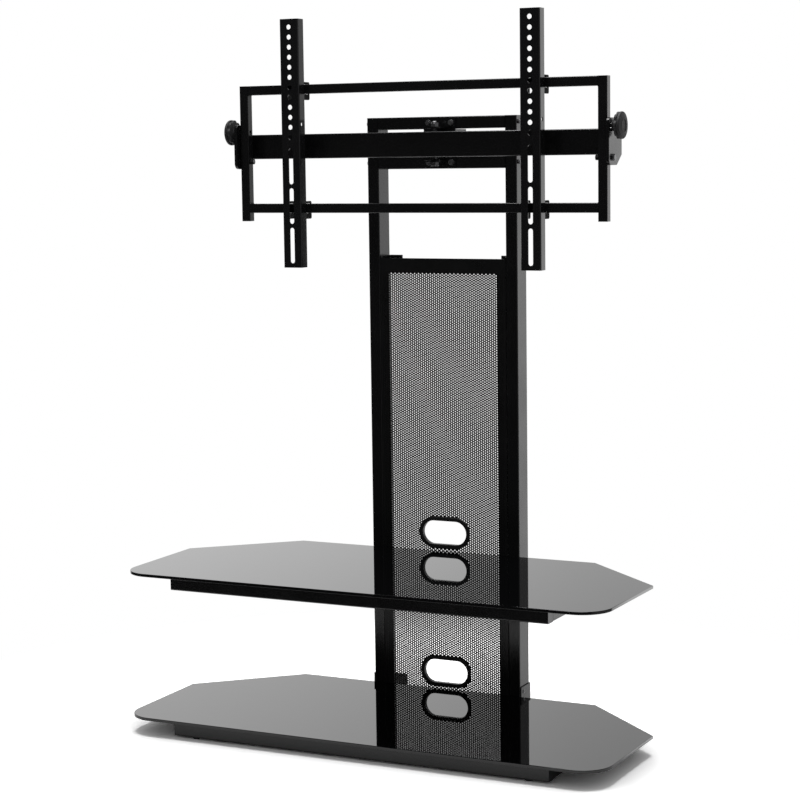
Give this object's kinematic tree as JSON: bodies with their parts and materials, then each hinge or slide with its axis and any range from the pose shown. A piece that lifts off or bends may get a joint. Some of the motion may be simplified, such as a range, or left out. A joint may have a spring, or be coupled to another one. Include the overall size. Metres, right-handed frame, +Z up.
{
  "type": "television stand",
  "caption": "Television stand with black glass shelves, a tube column with a perforated cable panel, and a swivelling, tilting mount with sliding arms and lock knobs.",
  "frame": {"origin": "on the floor, at the centre of the part's bounding box seen from above", "axes": "+Z up, -Y towards the viewer of the television, +X to that viewer's right"},
  "size_m": [1.026, 0.4964, 1.4216],
  "materials": {
    "black_steel": "satin black powder coat",
    "arm_steel": "semi-gloss black powder coat",
    "panel_steel": "satin black powder coat on perforated sheet",
    "black_glass": "polished black tempered glass",
    "black_plastic": "fine-grained black moulding",
    "knob_plastic": "satin black moulding",
    "black_rubber": "matt black rubber",
    "black_bolt": "black zinc plating"
  },
  "bodies": {
    "stand": {"base_front_rail": "black_steel", "base_rear_rail": "black_steel", "base_left_rail": "black_steel", "base_right_rail": "black_steel", "base_left_bearer": "black_steel", "base_right_bearer": "black_steel", "shelf_front_rail": "black_steel", "shelf_rear_rail": "black_steel", "shelf_left_rail": "black_steel", "shelf_right_rail": "black_steel", "shelf_left_bearer": "black_steel", "shelf_right_bearer": "black_steel", "base_front_pad": "black_rubber", "base_rear_pad": "black_rubber", "shelf_front_pad": "black_rubber", "shelf_rear_pad": "black_rubber", "lower_glass": "black_glass", "upper_glass": "black_glass", "left_post": "black_steel", "right_post": "black_steel", "upper_crossbar": "black_steel", "lower_crossbar": "black_steel", "left_panel_clip": "black_steel", "right_panel_clip": "black_steel", "left_post_strap": "black_steel", "right_post_strap": "black_steel", "swivel_plate": "black_steel", "cable_panel": "panel_steel", "lower_grommet": "black_plastic", "upper_grommet": "black_plastic", "left_rear_foot": "black_plastic", "right_rear_foot": "black_plastic", "left_front_foot": "black_plastic", "right_front_foot": "black_plastic", "left_upper_post_bolt": "black_bolt", "left_upper_plate_bolt": "black_bolt", "left_lower_post_bolt": "black_bolt", "left_lower_plate_bolt": "black_bolt", "right_upper_post_bolt": "black_bolt", "right_upper_plate_bolt": "black_bolt", "right_lower_post_bolt": "black_bolt", "right_lower_plate_bolt": "black_bolt", "swivel_bolt": "black_bolt", "swivel_nut": "black_bolt"},
    "swivel": {"swivel_yoke": "black_steel", "main_beam": "black_steel", "left_tilt_plate": "black_steel", "right_tilt_plate": "black_steel", "left_pivot_bolt": "black_bolt", "left_pivot_nut": "black_bolt", "right_pivot_bolt": "black_bolt", "right_pivot_nut": "black_bolt"},
    "tilt_frame": {"frame_top_bar": "black_steel", "frame_bottom_bar": "black_steel", "frame_left_bar": "black_steel", "frame_right_bar": "black_steel"},
    "left_knob": {"left_knob": "knob_plastic"},
    "right_knob": {"right_knob": "knob_plastic"},
    "left_arm": {"left_arm": "arm_steel"},
    "right_arm": {"right_arm": "arm_steel"}
  },
  "joints": [
    {"name": "mount_swivel", "type": "hinge", "parent": "stand", "child": "swivel", "pos_m": [0, 0.16875, 1.167], "axis": [0, 0, 1], "range_deg": [-15, 15]},
    {"name": "mount_tilt", "type": "hinge", "parent": "swivel", "child": "tilt_frame", "pos_m": [0, 0.09125, 1.137], "axis": [1, 0, 0], "range_deg": [-5, 10]},
    {"name": "left_knob_turn", "type": "hinge", "parent": "tilt_frame", "child": "left_knob", "pos_m": [-0.42, 0.09125, 1.197], "axis": [1, 0, 0], "continuous": true},
    {"name": "right_knob_turn", "type": "hinge", "parent": "tilt_frame", "child": "right_knob", "pos_m": [0.42, 0.09125, 1.197], "axis": [1, 0, 0], "continuous": true},
    {"name": "left_arm_slide", "type": "slide", "parent": "tilt_frame", "child": "left_arm", "axis": [1, 0, 0], "range_m": [-0.089, 0.24]},
    {"name": "right_arm_slide", "type": "slide", "parent": "tilt_frame", "child": "right_arm", "axis": [1, 0, 0], "range_m": [-0.223, 0.106]}
  ]
}
